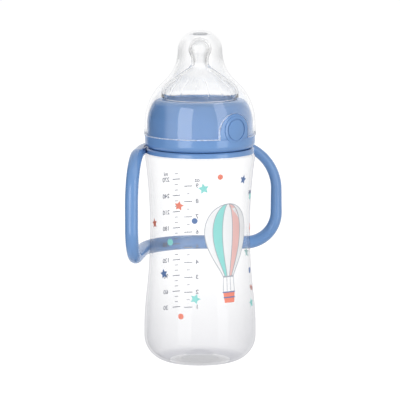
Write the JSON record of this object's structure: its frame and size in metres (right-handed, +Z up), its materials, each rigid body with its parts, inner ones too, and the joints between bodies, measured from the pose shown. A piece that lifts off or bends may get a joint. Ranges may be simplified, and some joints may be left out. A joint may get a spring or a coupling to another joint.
{
  "type": "feeding bottle",
  "caption": "Waisted clear feeding bottle with a domed screw collar, silicone teat, bell-shaped clear overcap and a clamped handle frame with side grips.",
  "frame": {"origin": "middle of the base, on the plane the bottle stands on", "axes": "+Z up along the bottle axis, X from the left grip to the right grip, the collar's badge pad faces -Y and the handle band passes behind at +Y"},
  "size_m": [0.1246, 0.075, 0.2061],
  "materials": {
    "clear_bottle": "milky clear polypropylene",
    "blue_plastic": "satin blue polypropylene",
    "silicone": "clear silicone",
    "clear_cap": "clear polypropylene"
  },
  "bodies": {
    "bottle": {"bottle_body": "clear_bottle"},
    "handles": {"handle_frame": "blue_plastic"},
    "teat": {"teat": "silicone"},
    "collar": {"screw_collar": "blue_plastic"},
    "overcap": {"overcap": "clear_cap"}
  },
  "joints": [
    {"name": "handle_swivel", "type": "hinge", "parent": "bottle", "child": "handles", "pos_m": [0, 0, 0.132], "axis": [0, 0, 1], "continuous": true},
    {"name": "teat_lift", "type": "slide", "parent": "bottle", "child": "teat", "axis": [0, 0, 1], "range_m": [0, 0.0063]},
    {"name": "collar_turn", "type": "hinge", "parent": "teat", "child": "collar", "pos_m": [0, 0, 0.148], "axis": [0, 0, 1], "range_deg": [0, 450]},
    {"name": "overcap_lift", "type": "slide", "parent": "collar", "child": "overcap", "axis": [0, 0, 1], "range_m": [0, 0.07]}
  ],
  "couplings": [
    {"joint": "teat_lift", "follows": "collar_turn", "m_per_rad": 0.00079577}
  ]
}
